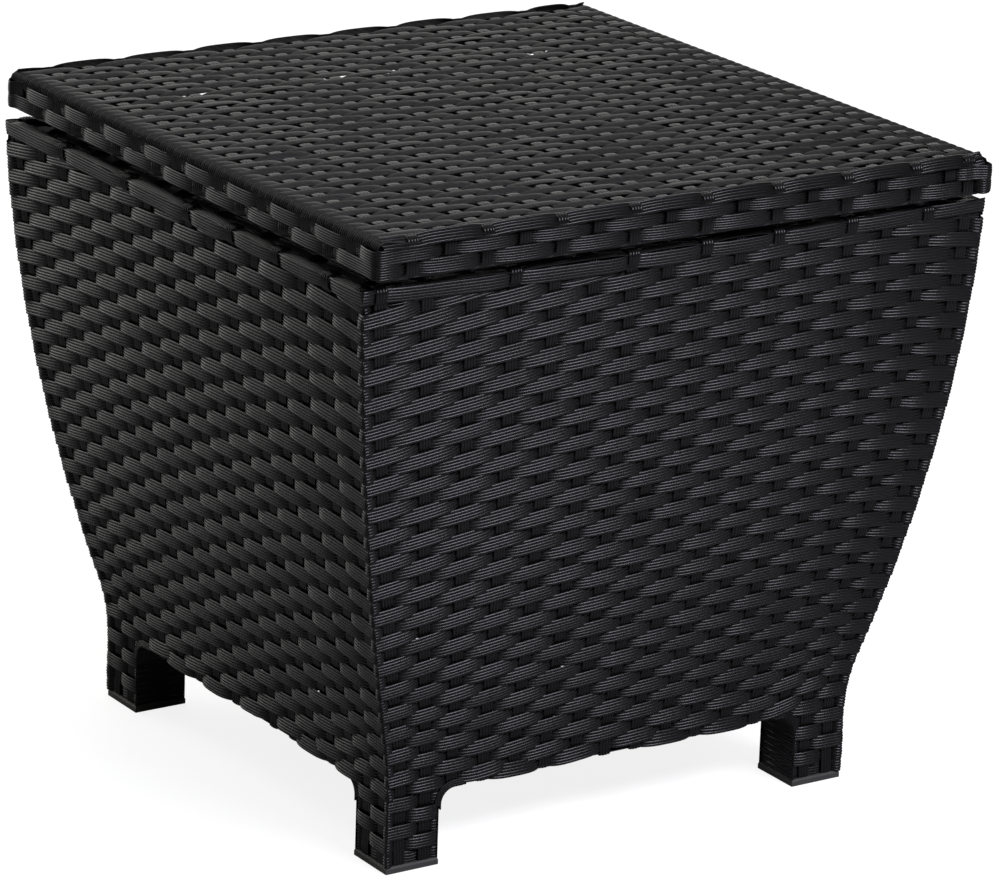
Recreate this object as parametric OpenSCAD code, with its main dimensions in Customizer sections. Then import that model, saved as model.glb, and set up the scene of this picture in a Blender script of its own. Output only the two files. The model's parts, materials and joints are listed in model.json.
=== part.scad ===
// Square woven deck box with flared walls on four short legs and a hinged slab lid.
// Origin: middle of the footprint on the ground. +X right, +Y back, +Z up.

/* [Woven body] */
// Width across the rim, left to right
rim_w = 508; // [460:1:560]
// Depth across the rim, front to back
rim_d = 492; // [460:1:560]
// Width across the feet, left to right
foot_w = 386; // [340:1:420]
// Depth across the feet, front to back
foot_d = 394; // [340:1:420]
// Height of the rim above the ground
body_h = 438; // [340:1:560]
// Height of the lower edge of the walls above the ground
skirt_h = 55; // [40:1:75]
// Thickness of a woven wall, over and under strands together
weave_t = 5; // [3:0.5:8]
// Thickness of a single wrapped layer of strand
wrap_t = 3; // [2:0.5:4]
// Spacing of the woven rows
row_pitch = 9.8; // [8:0.1:12]
// Rows between two of the grooves that stand for the weave
groove_rows = 3; // [2:1:6]
// Width of such a groove
groove_w = 5; // [2:0.5:7]
// Depth of such a groove
groove_t = 1.6; // [0.5:0.1:2]

/* [Flare of the walls] */
// Height where the walls start to lean out
flare_start = 50; // [40:1:60]
// Height where the walls lean most
flare_turn = 98; // [90:1:130]
// Lean at the rim, as a share of the greatest lean
rim_lean = 0.14; // [0:0.01:0.6]

/* [Legs and feet] */
// Width of a square leg
leg_w = 44; // [42:1:52]
// Radius where a leg meets the lower edge of a wall
fillet_r = 11; // [4:1:16]
// Height of the plastic foot cap
foot_t = 5; // [4:0.5:10]
// Height of the bevel at the top of the foot cap
foot_bevel = 1.5; // [1:0.5:3]
// How far the foot cap is set in from the faces of the leg
foot_inset = 1; // [0.5:0.5:2]
// Height of the plug that goes up into the leg tube
plug_h = 16; // [8:1:24]
// Clearance round that plug
plug_gap = 0.25; // [0.1:0.05:0.5]

/* [Steel frame of the body] */
// Width of the bent square tube at each corner
post_w = 20; // [16:1:22]
// Distance from the woven corner to the middle of that tube, along X and Y
post_inset = 20; // [19.5:0.5:24]
// Width of the straight rails
rail_w = 16; // [14:1:20]
// Height of the straight rails
rail_h = 16; // [14:1:20]
// Wall thickness of every tube
tube_t = 1.5; // [1:0.1:2]
// Height of the band that wraps the rim on the outside
rim_band_h = 11; // [9:1:14]
// Number of bars under the woven floor
floor_bars = 3; // [1:1:4]
// Spacing of those bars
floor_bar_pitch = 100; // [60:5:110]
// Gap between the woven floor and what stands round it
floor_gap = 0.5; // [0.3:0.1:2]

/* [Lid] */
// Width of the lid, left to right
lid_w = 497; // [450:1:560]
// Depth of the lid, front to back
lid_d = 503; // [450:1:570]
// Thickness of the lid
lid_t = 29; // [24:1:40]
// Gap between the rim and the closed lid
lid_gap = 4; // [3.5:0.1:8]
// How far the lid passes the rim at the back
lid_back_over = 3.5; // [0:0.5:8]
// Radius of the lid's upright corners
lid_corner_r = 11; // [9:0.5:16]
// Width of the tubes in the lid frame
lid_rail_w = 16; // [14:1:22]
// Spacing of the two bars across the lid
lid_bar_pitch = 160; // [80:5:260]

/* [Hinges] */
// Distance between the two hinges, middle to middle
hinge_pitch = 300; // [200:5:360]
// Width of a hinge
hinge_w = 50; // [36:1:70]
// Thickness of a hinge leaf
leaf_t = 1.5; // [1.2:0.1:1.7]
// Length of a hinge leaf in front of the pin
leaf_l = 26; // [22:1:30]
// Outer diameter of the hinge knuckle
knuckle_d = 7; // [6:0.5:8]
// Width of the middle knuckle, which belongs to the lid
knuckle_mid = 20; // [12:1:26]
// Diameter of the hinge pin
pin_d = 3; // [2:0.5:4]
// Diameter of the domed pin head
pin_head_d = 5; // [4.5:0.5:6]
// Length of the domed pin head
pin_head_l = 1; // [0.5:0.1:2]
// Radial running clearance of the pin in the knuckles
pin_gap = 0.05; // [0.02:0.01:0.1]
// Gap between neighbouring knuckles, and between a knuckle and the other leaf
knuckle_gap = 0.4; // [0.2:0.1:1]
// Gap between the knuckle and the back of the lid
knuckle_back_gap = 0.7; // [0.4:0.1:2]

/* [Screws and bumpers] */
// Diameter of the hinge screw shank
screw_d = 3.2; // [2.5:0.1:4]
// Diameter of the countersunk screw head
screw_head_d = 6; // [5:0.5:8]
// Height of the cone of the screw head
screw_cone_h = 1; // [0.8:0.1:1.1]
// Length of a hinge screw
screw_l = 12; // [8:1:15]
// Distance between the two screws of a leaf
screw_pitch = 32; // [20:1:36]
// Clearance round a screw
screw_gap = 0.1; // [0.05:0.05:0.3]
// Width of the slot in a screw head
slot_w = 0.8; // [0.5:0.1:1.2]
// Depth of the slot in a screw head
slot_h = 0.5; // [0.3:0.1:0.7]
// Diameter of a rubber bumper
bumper_d = 10; // [8:1:14]
// Distance between the bumpers, left to right
bumper_pitch = 400; // [200:5:420]
// Distance from the edge of the rim to a bumper
bumper_in = 3; // [0:0.5:6]
// Gap between a bumper and the closed lid
bumper_gap = 0.2; // [0.1:0.1:0.5]

/* [Hidden] */
CORNERS = ["front_left", "front_right", "back_left", "back_right"];

// Reach of the long cutting blocks, well past the whole object
far = 1000;
// Smallest overlap that makes a cut come out clean
eps = 0.5;

// Lean of the walls. flare(z) runs from 0 at the legs to 1 at the rim: first a hollow
// curve up to flare_turn, then a full curve that is nearly upright at the rim.
function flare_raw(z) =
    z <= flare_start ? 0 :
    z <= flare_turn ? pow(z - flare_start, 2) / (2 * (flare_turn - flare_start)) :
    (flare_turn - flare_start) / 2 + (z - flare_turn)
        - (1 - rim_lean) * pow(z - flare_turn, 2) / (2 * (body_h - flare_turn));
function flare(z) = flare_raw(z) / flare_raw(body_h);
function half_w(z) = (foot_w + (rim_w - foot_w) * flare(z)) / 2;
function half_d(z) = (foot_d + (rim_d - foot_d) * flare(z)) / 2;

// Half size of the outside at height z, looking square at one side
function is_side(side) = side == "left" || side == "right";
function half(side, z) = is_side(side) ? half_w(z) : half_d(z);
// Turn about Z that brings a piece made for the front to the named side
function turn_of(side) = side == "front" ? 0 : side == "right" ? 90 : side == "back" ? 180 : 270;

// Heights at which the curved pieces have a corner
low_steps = 6;
high_steps = 14;
function heights(z0, z1) = concat(
    [z0],
    [for (i = [0 : low_steps]) let (z = flare_start + (flare_turn - flare_start) * i / low_steps)
        if (z > z0 + 1 && z < z1 - 1) z],
    [for (i = [1 : high_steps]) let (z = flare_turn + (body_h - flare_turn) * i / high_steps)
        if (z > z0 + 1 && z < z1 - 1) z],
    [z1]);

// Rim band and top rail
top_rail_z1 = body_h - wrap_t;
top_rail_z0 = top_rail_z1 - rail_h;
rim_band_z = body_h - rim_band_h;
function top_rail_out(side) = half(side, top_rail_z0) - weave_t;

// Lower lip of the wall, bottom rail and floor
bottom_rail_z0 = skirt_h + wrap_t;
bottom_rail_z1 = bottom_rail_z0 + rail_h;
floor_z1 = bottom_rail_z1 + weave_t;
function bottom_rail_out(side) = half(side, bottom_rail_z0) - weave_t;
// A rail runs from the middle of one corner tube to the middle of the next
function rail_length(side, z) = 2 * ((is_side(side) ? half_d(z) : half_w(z)) - post_inset);
function floor_half(side) = half(side, bottom_rail_z1) - weave_t - floor_gap;

// Corner tubes lean outwards along the line from the foot corner to the rim corner
corner_run = [(rim_w - foot_w) / 2, (rim_d - foot_d) / 2];
corner_angle = atan2(corner_run.y, corner_run.x);
post_inner_w = post_w - 2 * tube_t;
function post_lean(z) = norm(corner_run) * flare(z);

// Lid
lid_z0 = body_h + lid_gap;
lid_z1 = lid_z0 + lid_t;
lid_rail_z1 = lid_z1 - weave_t;
lid_back_y = rim_d / 2 + lid_back_over;
lid_y = lid_back_y - lid_d / 2;
lid_in_w = lid_w - 2 * weave_t;
lid_in_d = lid_d - 2 * weave_t;

// Hinges: the pin runs along X behind the lid, halfway up the gap
pin_y = lid_back_y + knuckle_back_gap + knuckle_d / 2;
pin_z = body_h + lid_gap / 2;
leaf_y0 = pin_y - leaf_l;
leaf_y1 = pin_y - knuckle_d / 2 - knuckle_gap;
base_leaf_z0 = body_h;
lid_leaf_z1 = lid_z0;
base_screw_y = top_rail_out("back") - rail_w / 2;
lid_screw_y = lid_back_y - weave_t - lid_rail_w / 2;
bumper_h = lid_gap - bumper_gap;
bumper_y = rim_d / 2 - bumper_in - bumper_d / 2;

// Copies its children, made for the front right corner, to the named corner
module at_corner(corner) {
    flip_x = corner == "front_left" || corner == "back_left" ? 1 : 0;
    flip_y = corner == "back_left" || corner == "back_right" ? 1 : 0;
    mirror([flip_x, 0, 0]) mirror([0, flip_y, 0]) children();
}

module at_hinge(hand) {
    translate([hand == "left" ? -hinge_pitch / 2 : hinge_pitch / 2, 0, 0]) children();
}

// Extrudes an outline drawn in (distance outwards, height) along the named side
module along_side(side, length) {
    rotate([0, 0, turn_of(side)]) translate([-length / 2, 0, 0]) rotate([90, 0, 90])
        linear_extrude(length) mirror([1, 0]) children();
}

// Wedge of the named side between two upright mitre planes. Each plane passes through
// a corner of the plan and runs outwards along run.
module mitre_wedge(side, corner, run) {
    here = is_side(side) ? [corner.y, corner.x] : corner;
    step = is_side(side) ? [run.y, run.x] : run;
    outer = here + 2 * step;
    inner = here - step;
    rotate([0, 0, turn_of(side)]) linear_extrude(far)
        polygon([[-outer.x, -outer.y], [outer.x, -outer.y], [inner.x, -inner.y], [-inner.x, -inner.y]]);
}

module body_wedge(side) {
    mitre_wedge(side, [foot_w, foot_d] / 2, corner_run);
}

// One bent corner tube as a solid bar of the given width, at the front right corner
module post_bar(width, z0, z1) {
    zs = heights(z0, z1);
    count = len(zs);
    outer = [for (z = zs) [post_lean(z) + width / 2, z]];
    inner = [for (i = [count - 1 : -1 : 0]) [post_lean(zs[i]) - width / 2, zs[i]]];
    translate([foot_w / 2 - post_inset, -(foot_d / 2 - post_inset), 0])
        rotate([0, 0, -corner_angle]) translate([0, width / 2, 0]) rotate([90, 0, 0])
            linear_extrude(width) polygon(concat(outer, inner));
}

module all_post_bars(width, z0, z1) {
    for (corner = CORNERS) at_corner(corner) post_bar(width, z0, z1);
}

module corner_post(corner) {
    color("dimgray") at_corner(corner) difference() {
        post_bar(post_w, foot_t, top_rail_z1);
        post_bar(post_inner_w, foot_t - eps, top_rail_z1 + eps);
    }
}

// Square tube along X or Y, from its low corner and its size
module tube_x(size) {
    difference() {
        cube(size);
        translate([-eps, tube_t, tube_t])
            cube([size.x + 2 * eps, size.y - 2 * tube_t, size.z - 2 * tube_t]);
    }
}

// Straight rail between two corner tubes, notched round them
module body_rail(side, out, z0) {
    length = rail_length(side, z0);
    difference() {
        rotate([0, 0, turn_of(side)]) translate([-length / 2, -out, z0]) tube_x([length, rail_w, rail_h]);
        all_post_bars(post_w, foot_t, top_rail_z1 + eps);
    }
}

module top_rail(side) {
    color("dimgray") difference() {
        body_rail(side, top_rail_out(side), top_rail_z0);
        if (side == "back") base_screw_holes();
    }
}

module bottom_rail(side) {
    color("dimgray") body_rail(side, bottom_rail_out(side), bottom_rail_z0);
}

module floor_bars() {
    length = bottom_rail_out("front") + bottom_rail_out("back") - 2 * rail_w;
    color("dimgray") for (i = [0 : floor_bars - 1])
        translate([(i - (floor_bars - 1) / 2) * floor_bar_pitch + rail_w / 2, -length / 2, bottom_rail_z0])
            rotate([0, 0, 90]) tube_x([length, rail_w, rail_h]);
}

// Woven floor on the bottom rails, notched round the corner tubes
module floor_weave() {
    size = [2 * floor_half("left"), 2 * floor_half("front"), weave_t];
    notch_w = post_inset + post_w / 8;
    color("black") difference() {
        translate([-size.x / 2, -size.y / 2, bottom_rail_z1]) cube(size);
        all_post_bars(post_w + 2 * floor_gap, skirt_h, floor_z1 + rail_h);
        for (corner = CORNERS) at_corner(corner)
            translate([half_w(floor_z1) - notch_w, -half_d(floor_z1), bottom_rail_z1 - eps])
                cube([notch_w, notch_w, weave_t + 2 * eps]);
    }
}

// Outer face of a woven wall as (distance outwards, height), one point per row boundary
// and a groove at every few rows, counted down from the rim
last_row = floor((body_h - skirt_h - groove_w) / row_pitch);
function wall_groove(side, z) = [
    [half(side, z - groove_w / 2), z - groove_w / 2],
    [half(side, z) - groove_t, z],
    [half(side, z + groove_w / 2), z + groove_w / 2]
];
function wall_face(side) = concat(
    [[half(side, skirt_h), skirt_h]],
    [for (i = [last_row : -1 : 2]) let (z = body_h - i * row_pitch)
        each (i % groove_rows == 1 ? wall_groove(side, z) : [[half(side, z), z]])],
    [[half(side, rim_band_z), rim_band_z]]);

// Woven wall with the lip that carries the bottom rail
module wall_weave(side) {
    zs = heights(skirt_h, rim_band_z);
    count = len(zs);
    outer = wall_face(side);
    inner = [for (i = [count - 1 : -1 : 0]) [half(side, zs[i]) - weave_t, zs[i]]];
    lip_in = bottom_rail_out(side) - rail_w;
    lip_out = half(side, skirt_h) - weave_t / 2;
    color("black") union() {
        intersection() {
            along_side(side, far) polygon(concat(outer, inner));
            body_wedge(side);
        }
        difference() {
            along_side(side, rail_length(side, bottom_rail_z0))
                translate([lip_in, skirt_h]) square([lip_out - lip_in, wrap_t]);
            all_post_bars(post_w, foot_t, top_rail_z1);
        }
    }
}

// Wrapped leg: thick woven faces outside, thin wrapped faces inside, and the two
// rounded corners under the edges of the walls
module leg_wrap(corner) {
    x1 = foot_w / 2;
    y1 = foot_d / 2;
    height = skirt_h - foot_t;
    hollow = leg_w - weave_t - wrap_t;
    color("black") at_corner(corner) union() {
        difference() {
            translate([x1 - leg_w, -y1, foot_t]) cube([leg_w, leg_w, height]);
            translate([x1 - leg_w + wrap_t, -y1 + weave_t, foot_t - eps])
                cube([hollow, hollow, height + 2 * eps]);
        }
        translate([x1 - leg_w, -y1, 0]) leg_fillet();
        translate([x1, -y1 + leg_w, 0]) rotate([0, 0, 90]) mirror([1, 0, 0]) leg_fillet();
    }
}

// Block with a hollow quarter round, left of the leg and under the edge of the wall
module leg_fillet() {
    depth = weave_t + rail_w;
    translate([-fillet_r, 0, skirt_h - fillet_r]) difference() {
        cube([fillet_r, depth, fillet_r]);
        translate([0, -eps, 0]) rotate([-90, 0, 0]) cylinder(r = fillet_r, h = depth + 2 * eps, $fn = 48);
    }
}

// Band of strand that wraps over the top rail
module rim_wrap(side) {
    out = half(side, body_h);
    band_out = half(side, rim_band_z);
    rail_in = top_rail_out(side) - rail_w;
    outline = [
        [band_out, rim_band_z],
        [out, body_h],
        [rail_in - wrap_t, body_h],
        [rail_in - wrap_t, top_rail_z0],
        [rail_in, top_rail_z0],
        [rail_in, top_rail_z1],
        [out - weave_t, top_rail_z1],
        [band_out - weave_t, rim_band_z]
    ];
    color("black") difference() {
        intersection() {
            along_side(side, far) polygon(outline);
            body_wedge(side);
        }
        all_post_bars(post_w, foot_t, top_rail_z1);
        if (side == "back") base_screw_holes();
    }
}

// Plastic cap under a leg, with a bevel and a plug that goes up into the tube
module foot_cap(corner) {
    side = leg_w - 2 * foot_inset;
    plug_w = post_inner_w - 2 * plug_gap;
    color("darkslategray") at_corner(corner) union() {
        translate([foot_w / 2 - leg_w + foot_inset, -foot_d / 2 + foot_inset, 0]) bevelled_block(side);
        translate([foot_w / 2 - post_inset, -(foot_d / 2 - post_inset), foot_t])
            rotate([0, 0, -corner_angle]) translate([-plug_w / 2, -plug_w / 2, -eps])
                cube([plug_w, plug_w, plug_h + eps]);
    }
}

// Square block whose top edges are bevelled on all four sides
module bevelled_block(side) {
    bevel = [[0, 0], [side, 0], [side, foot_t - foot_bevel], [side - foot_bevel / 2, foot_t],
             [foot_bevel / 2, foot_t], [0, foot_t - foot_bevel]];
    intersection() {
        rotate([90, 0, 90]) linear_extrude(side) polygon(bevel);
        translate([0, side, 0]) rotate([90, 0, 0]) linear_extrude(side) polygon(bevel);
    }
}

// Lid frame
module lid_rail(side) {
    full = side == "front" || side == "back";
    length = full ? lid_in_w : lid_in_d - 2 * lid_rail_w;
    out = (full ? lid_in_d : lid_in_w) / 2;
    color("dimgray") difference() {
        translate([0, lid_y, 0]) rotate([0, 0, turn_of(side)]) translate([-length / 2, -out, lid_z0])
            tube_x([length, lid_rail_w, lid_rail_z1 - lid_z0]);
        if (side == "back") lid_screw_holes();
    }
}

module lid_bar(hand) {
    length = lid_in_d - 2 * lid_rail_w;
    x = (hand == "left" ? -1 : 1) * lid_bar_pitch / 2;
    color("dimgray") translate([x + lid_rail_w / 2, lid_y - length / 2, lid_z0])
        rotate([0, 0, 90]) tube_x([length, lid_rail_w, lid_rail_z1 - lid_z0]);
}

// Plate with rounded upright corners, centred on the lid
module lid_plate(z0, z1) {
    r = lid_corner_r;
    translate([0, lid_y, z0]) linear_extrude(z1 - z0) union() {
        square([lid_w - 2 * r, lid_d], center = true);
        square([lid_w, lid_d - 2 * r], center = true);
        for (sx = [-1, 1]) for (sy = [-1, 1])
            translate([sx * (lid_w / 2 - r), sy * (lid_d / 2 - r)]) circle(r = r, $fn = 64);
    }
}

// Outline of the woven top in (distance across, height), with both edges rounded over the
// whole thickness of the weave
edge_steps = 8;
function edge_outline(half_size) =
    let (arc = [for (i = [0 : edge_steps]) weave_t * [cos(90 * i / edge_steps), sin(90 * i / edge_steps)]],
         flat_half = half_size - weave_t)
    concat([for (p = arc) [flat_half + p.x, p.y]],
           [for (i = [edge_steps : -1 : 0]) [-flat_half - arc[i].x, arc[i].y]]);

// The same outline with a groove at every few rows, counted from the middle
function grooved_outline(half_size) =
    let (pitch = groove_rows * row_pitch,
         count = floor((half_size - weave_t - groove_w) / pitch + 0.5),
         outline = edge_outline(half_size),
         arc = len(outline) / 2)
    concat([for (i = [0 : arc - 1]) outline[i]],
           [for (k = [count - 1 : -1 : -count]) let (x = (k + 0.5) * pitch)
               each [[x + groove_w / 2, weave_t], [x, weave_t - groove_t], [x - groove_w / 2, weave_t]]],
           [for (i = [arc : 2 * arc - 1]) outline[i]]);

// Woven top of the lid with its rounded edges, on the lid frame
module lid_top_weave() {
    color("black") intersection() {
        lid_plate(lid_rail_z1, lid_z1);
        translate([-lid_w / 2, lid_y, lid_rail_z1]) rotate([90, 0, 90])
            linear_extrude(lid_w) polygon(grooved_outline(lid_d / 2));
        translate([0, lid_y + lid_d / 2, lid_rail_z1]) rotate([90, 0, 0])
            linear_extrude(lid_d) polygon(edge_outline(lid_w / 2));
    }
}

// Woven band on one side of the lid, mitred at its ends
module lid_side_weave(side) {
    color("black") intersection() {
        difference() {
            lid_plate(lid_z0, lid_rail_z1);
            translate([-lid_in_w / 2, lid_y - lid_in_d / 2, lid_z0 - eps])
                cube([lid_in_w, lid_in_d, lid_t]);
        }
        translate([0, lid_y, 0]) mitre_wedge(side, [lid_w, lid_d] / 2, [lid_rail_w, lid_rail_w]);
    }
}

// Straight piece of hinge knuckle along X with its bore
module knuckle(x0, length, plate_z) {
    difference() {
        union() {
            translate([x0, pin_y, pin_z]) rotate([0, 90, 0]) cylinder(d = knuckle_d, h = length, $fn = 48);
            translate([x0, leaf_y1 - eps, plate_z]) cube([length, pin_y - leaf_y1 + eps, leaf_t]);
        }
        translate([x0 - eps, pin_y, pin_z]) rotate([0, 90, 0])
            cylinder(d = pin_d + 2 * pin_gap, h = length + 2 * eps, $fn = 48);
    }
}

module hinge_base_leaf(hand) {
    end_w = (hinge_w - knuckle_mid) / 2 - knuckle_gap;
    color("silver") difference() {
        at_hinge(hand) union() {
            translate([-hinge_w / 2, leaf_y0, base_leaf_z0]) cube([hinge_w, leaf_y1 - leaf_y0, leaf_t]);
            knuckle(-hinge_w / 2, end_w, base_leaf_z0);
            knuckle(hinge_w / 2 - end_w, end_w, base_leaf_z0);
        }
        base_screw_holes();
    }
}

module hinge_lid_leaf(hand) {
    color("silver") difference() {
        at_hinge(hand) union() {
            translate([-hinge_w / 2, leaf_y0, lid_leaf_z1 - leaf_t]) cube([hinge_w, leaf_y1 - leaf_y0, leaf_t]);
            knuckle(-knuckle_mid / 2, knuckle_mid, lid_leaf_z1 - leaf_t);
        }
        lid_screw_holes();
    }
}

module hinge_pin(hand) {
    head_x = hinge_w / 2 + knuckle_gap / 2;
    color("gray") at_hinge(hand) translate([0, pin_y, pin_z]) rotate([0, 90, 0]) union() {
        translate([0, 0, -head_x]) cylinder(d = pin_d, h = 2 * head_x, $fn = 48);
        for (s = [-1, 1]) translate([0, 0, s * (head_x + pin_head_l / 2)])
            cylinder(d = pin_head_d, h = pin_head_l, center = true, $fn = 48);
    }
}

// Countersunk screw that points down, with the top of its head at z = 0
module screw_shape(gap) {
    translate([0, 0, -screw_l]) cylinder(d = screw_d + 2 * gap, h = screw_l, $fn = 32);
    translate([0, 0, -screw_cone_h])
        cylinder(d1 = screw_d + 2 * gap, d2 = screw_head_d + 2 * gap, h = screw_cone_h, $fn = 32);
}

module slotted_screw() {
    difference() {
        screw_shape(0);
        translate([-screw_head_d, -slot_w / 2, -slot_h]) cube([2 * screw_head_d, slot_w, slot_h + eps]);
    }
}

module at_screws(y, z) {
    for (hand = ["left", "right"]) at_hinge(hand) for (s = [-1, 1])
        translate([s * screw_pitch / 2, y, z]) children();
}

module base_screw_holes() {
    at_screws(base_screw_y, base_leaf_z0 + leaf_t) screw_shape(screw_gap);
}

module lid_screw_holes() {
    at_screws(lid_screw_y, lid_leaf_z1 - leaf_t) mirror([0, 0, 1]) screw_shape(screw_gap);
}

module hinge_base_screws() {
    color("gray") at_screws(base_screw_y, base_leaf_z0 + leaf_t) slotted_screw();
}

module hinge_lid_screws() {
    color("gray") at_screws(lid_screw_y, lid_leaf_z1 - leaf_t) mirror([0, 0, 1]) slotted_screw();
}

// Rubber discs on the rim that the closed lid rests on
module lid_bumpers() {
    color("darkslategray") for (s = [-1, 1]) for (t = [-1, 1])
        translate([s * bumper_pitch / 2, t * bumper_y, body_h]) cylinder(d = bumper_d, h = bumper_h, $fn = 48);
}

corner_post("front_left");  // corner_post_front_left
corner_post("front_right");  // corner_post_front_right
corner_post("back_left");  // corner_post_back_left
corner_post("back_right");  // corner_post_back_right
top_rail("front");  // top_rail_front
top_rail("back");  // top_rail_back
top_rail("left");  // top_rail_left
top_rail("right");  // top_rail_right
bottom_rail("front");  // bottom_rail_front
bottom_rail("back");  // bottom_rail_back
bottom_rail("left");  // bottom_rail_left
bottom_rail("right");  // bottom_rail_right
floor_bars();
floor_weave();
wall_weave("front");  // wall_weave_front
wall_weave("back");  // wall_weave_back
wall_weave("left");  // wall_weave_left
wall_weave("right");  // wall_weave_right
leg_wrap("front_left");  // leg_wrap_front_left
leg_wrap("front_right");  // leg_wrap_front_right
leg_wrap("back_left");  // leg_wrap_back_left
leg_wrap("back_right");  // leg_wrap_back_right
rim_wrap("front");  // rim_wrap_front
rim_wrap("back");  // rim_wrap_back
rim_wrap("left");  // rim_wrap_left
rim_wrap("right");  // rim_wrap_right
foot_cap("front_left");  // foot_cap_front_left
foot_cap("front_right");  // foot_cap_front_right
foot_cap("back_left");  // foot_cap_back_left
foot_cap("back_right");  // foot_cap_back_right
hinge_base_leaf("left");  // hinge_base_leaf_left
hinge_base_leaf("right");  // hinge_base_leaf_right
hinge_pin("left");  // hinge_pin_left
hinge_pin("right");  // hinge_pin_right
hinge_base_screws();
lid_bumpers();
lid_rail("front");  // lid_rail_front
lid_rail("back");  // lid_rail_back
lid_rail("left");  // lid_rail_left
lid_rail("right");  // lid_rail_right
lid_bar("left");  // lid_bar_left
lid_bar("right");  // lid_bar_right
lid_top_weave();
lid_side_weave("front");  // lid_side_weave_front
lid_side_weave("back");  // lid_side_weave_back
lid_side_weave("left");  // lid_side_weave_left
lid_side_weave("right");  // lid_side_weave_right
hinge_lid_leaf("left");  // hinge_lid_leaf_left
hinge_lid_leaf("right");  // hinge_lid_leaf_right
hinge_lid_screws();
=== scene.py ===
import json
import math
from collections import namedtuple

import bpy
import numpy as np
from mathutils import Matrix, Vector

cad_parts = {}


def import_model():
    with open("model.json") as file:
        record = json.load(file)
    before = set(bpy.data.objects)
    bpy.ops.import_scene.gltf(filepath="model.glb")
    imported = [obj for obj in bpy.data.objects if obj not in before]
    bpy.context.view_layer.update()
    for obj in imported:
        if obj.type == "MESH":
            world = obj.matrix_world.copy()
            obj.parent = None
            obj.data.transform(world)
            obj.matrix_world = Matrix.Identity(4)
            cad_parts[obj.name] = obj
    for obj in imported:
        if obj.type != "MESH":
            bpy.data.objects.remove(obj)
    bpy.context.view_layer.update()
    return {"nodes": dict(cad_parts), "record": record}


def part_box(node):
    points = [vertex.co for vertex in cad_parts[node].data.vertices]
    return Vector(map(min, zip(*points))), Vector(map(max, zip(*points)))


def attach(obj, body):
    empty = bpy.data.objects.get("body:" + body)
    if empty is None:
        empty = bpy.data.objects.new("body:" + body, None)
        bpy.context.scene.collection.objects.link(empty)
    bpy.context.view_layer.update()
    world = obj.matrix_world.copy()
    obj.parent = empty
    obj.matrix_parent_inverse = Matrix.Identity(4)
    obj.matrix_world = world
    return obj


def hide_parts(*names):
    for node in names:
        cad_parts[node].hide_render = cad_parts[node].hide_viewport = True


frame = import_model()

# A square box of woven resin strand with a hinged slab lid. Every strand is swept along its own
# path over and under the others. The frame, feet, hinges and bumpers only get their finishes.

# Sizes in millimetres, as in the part's source
MM = 0.001
RIM_W, RIM_D = 508.0, 492.0
FOOT_W, FOOT_D = 386.0, 394.0
BODY_H, SKIRT_H, FOOT_T = 438.0, 55.0, 5.0
FLARE_START, FLARE_TURN, RIM_LEAN = 50.0, 98.0, 0.14
LEG_W, FILLET_R = 44.0, 11.0
LID_W, LID_D, LID_Y = 497.0, 503.0, -2.0
LID_TOP_Z = 471.0
FLOOR_Z = 76.5
# Each corner of the floor is cut out round a corner post
FLOOR_NOTCH = 23.0
FLOOR_COLUMNS, FLOOR_COLUMN_PITCH = 12, 29.0

# The flat resin strand. Its middle lies MID_DEPTH under the outer face of the solids
WEFT_W, WARP_W, BAND_W, LID_WEFT_W = 10.7, 9.2, 10.6, 9.9
FAR_EXTRA_W = 1.1
STRAND_T = 1.3
BACK_BEVEL = 0.4
MID_DEPTH = 2.4

# The weave: how far a weft rises and sinks, and half the length that it stays behind a warp
LIFT, FAR_LIFT, LID_LIFT, FLOOR_LIFT = 2.3, 1.9, 1.7, 1.4
WINDOW_HALF = 3.9
# Random spread of each arch: sideways, in twist and in height
SHIFT_SPREAD, TWIST_SPREAD, RISE_SPREAD = 0.12, 0.05, 0.10
# Stations up an arch as shares of its length, and how steeply it starts to rise
ARCH_MARKS, ARCH_POWER = (0.05, 0.14, 0.28, 0.48, 0.74), 3.5
# The same beside a corner, from a window and from the bend itself
WINDOW_END_MARKS, WINDOW_END_POWER = (0.15, 0.4, 0.7), 2.5
BEND_END_MARKS, BEND_END_POWER = (0.35, 0.7), 2.0

# A warp holds its lift for this far either side of a row, and strays a little sideways
WARP_HOLD, LID_WARP_HOLD = 2.7, 2.4
WARP_STRAY, LID_WARP_STRAY = 0.35, 0.3

# The rows and columns of the body. The climb can bring in this many more rows at either end
ROW_PITCH = 9.83
WALL_ROWS, MORE_ROWS = 39, 9
LEG_ROWS = 5
COLUMNS = np.arange(16)
COLUMN_PITCH, COLUMN_SPREAD = 29.7, 0.0386
OUTER_COLUMN, OUTER_COLUMN_INSET = 239.0, 14.75
# On the legs two columns stand this far from the corner, and the others start further in
LEG_COLUMNS, INNER_COLUMN = np.array([12.0, 32.0]), 53.0
FRONT_COLUMN_SHIFT = 4.2
# The first and the last height at which a row shows, in rows from the lowest
WALL_LOW, WALL_TOP = -0.5, 37.8
# Below this height the rows spread to meet those of the legs, over the outer share of a side
SPREAD_TOP, SPREAD_BAND, LEG_SHARE = 150.0, 95.0, 0.22

# Corners of the body, and how far the strands stand out where they bend round them
CORNER_R = 1.7
CORNER_LIFT, CORNER_WOBBLE = 2.4, 0.25
BEND_TURNS = np.radians([15.0, 30.0, 45.0])
# Twist of the wefts, lower edge out where it is negative
SHINGLE, FAR_SHINGLE = -0.16, 0.06
# The top rows go this far in behind the strand along the rim, from this height on
TUCK_DEPTH, TUCK_START, TUCK_BAND = 2.8, 419.5, 6.0

# The strand along the rim: its lowest height, and its sag below the corners
RIM_FRONT_Z, RIM_FRONT_SAG = 428.2, 3.5
RIM_Z, RIM_SAG = 429.4, 0.8
RIM_LIFT, RIM_PROUD, RIM_SHINGLE = 1.1, 1.0, 0.1
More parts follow.
